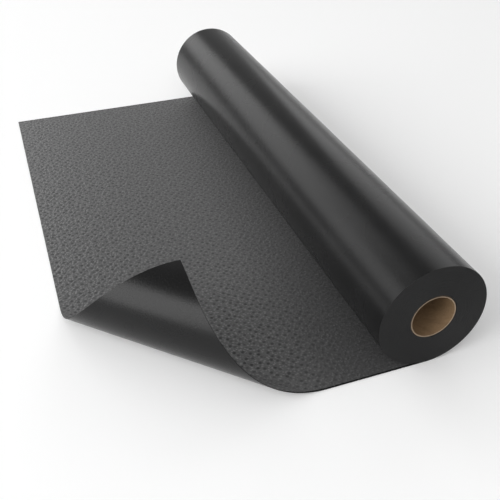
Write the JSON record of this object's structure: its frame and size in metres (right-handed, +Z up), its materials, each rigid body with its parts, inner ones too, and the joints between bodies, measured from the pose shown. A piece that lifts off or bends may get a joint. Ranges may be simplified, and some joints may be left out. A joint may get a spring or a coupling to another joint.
{
  "type": "roll of pvc roofing membrane",
  "caption": "Roll of dark grey PVC roofing membrane wound on a cardboard core, part unrolled, with a corner of its loose end curled up.",
  "frame": {"origin": "on the floor, in the middle of the footprint of the roll with its loose end", "axes": "+Y along the roll, away from the curled corner; +X from the loose end's cut edge towards the roll; +Z up"},
  "size_m": [0.653, 1.2, 0.196],
  "materials": {
    "membrane": "embossed top, smooth satin underside",
    "core_board": "plain spiral-wound paper board"
  },
  "bodies": {
    "root": {"membrane": "membrane", "core_tube": "core_board"}
  },
  "joints": []
}
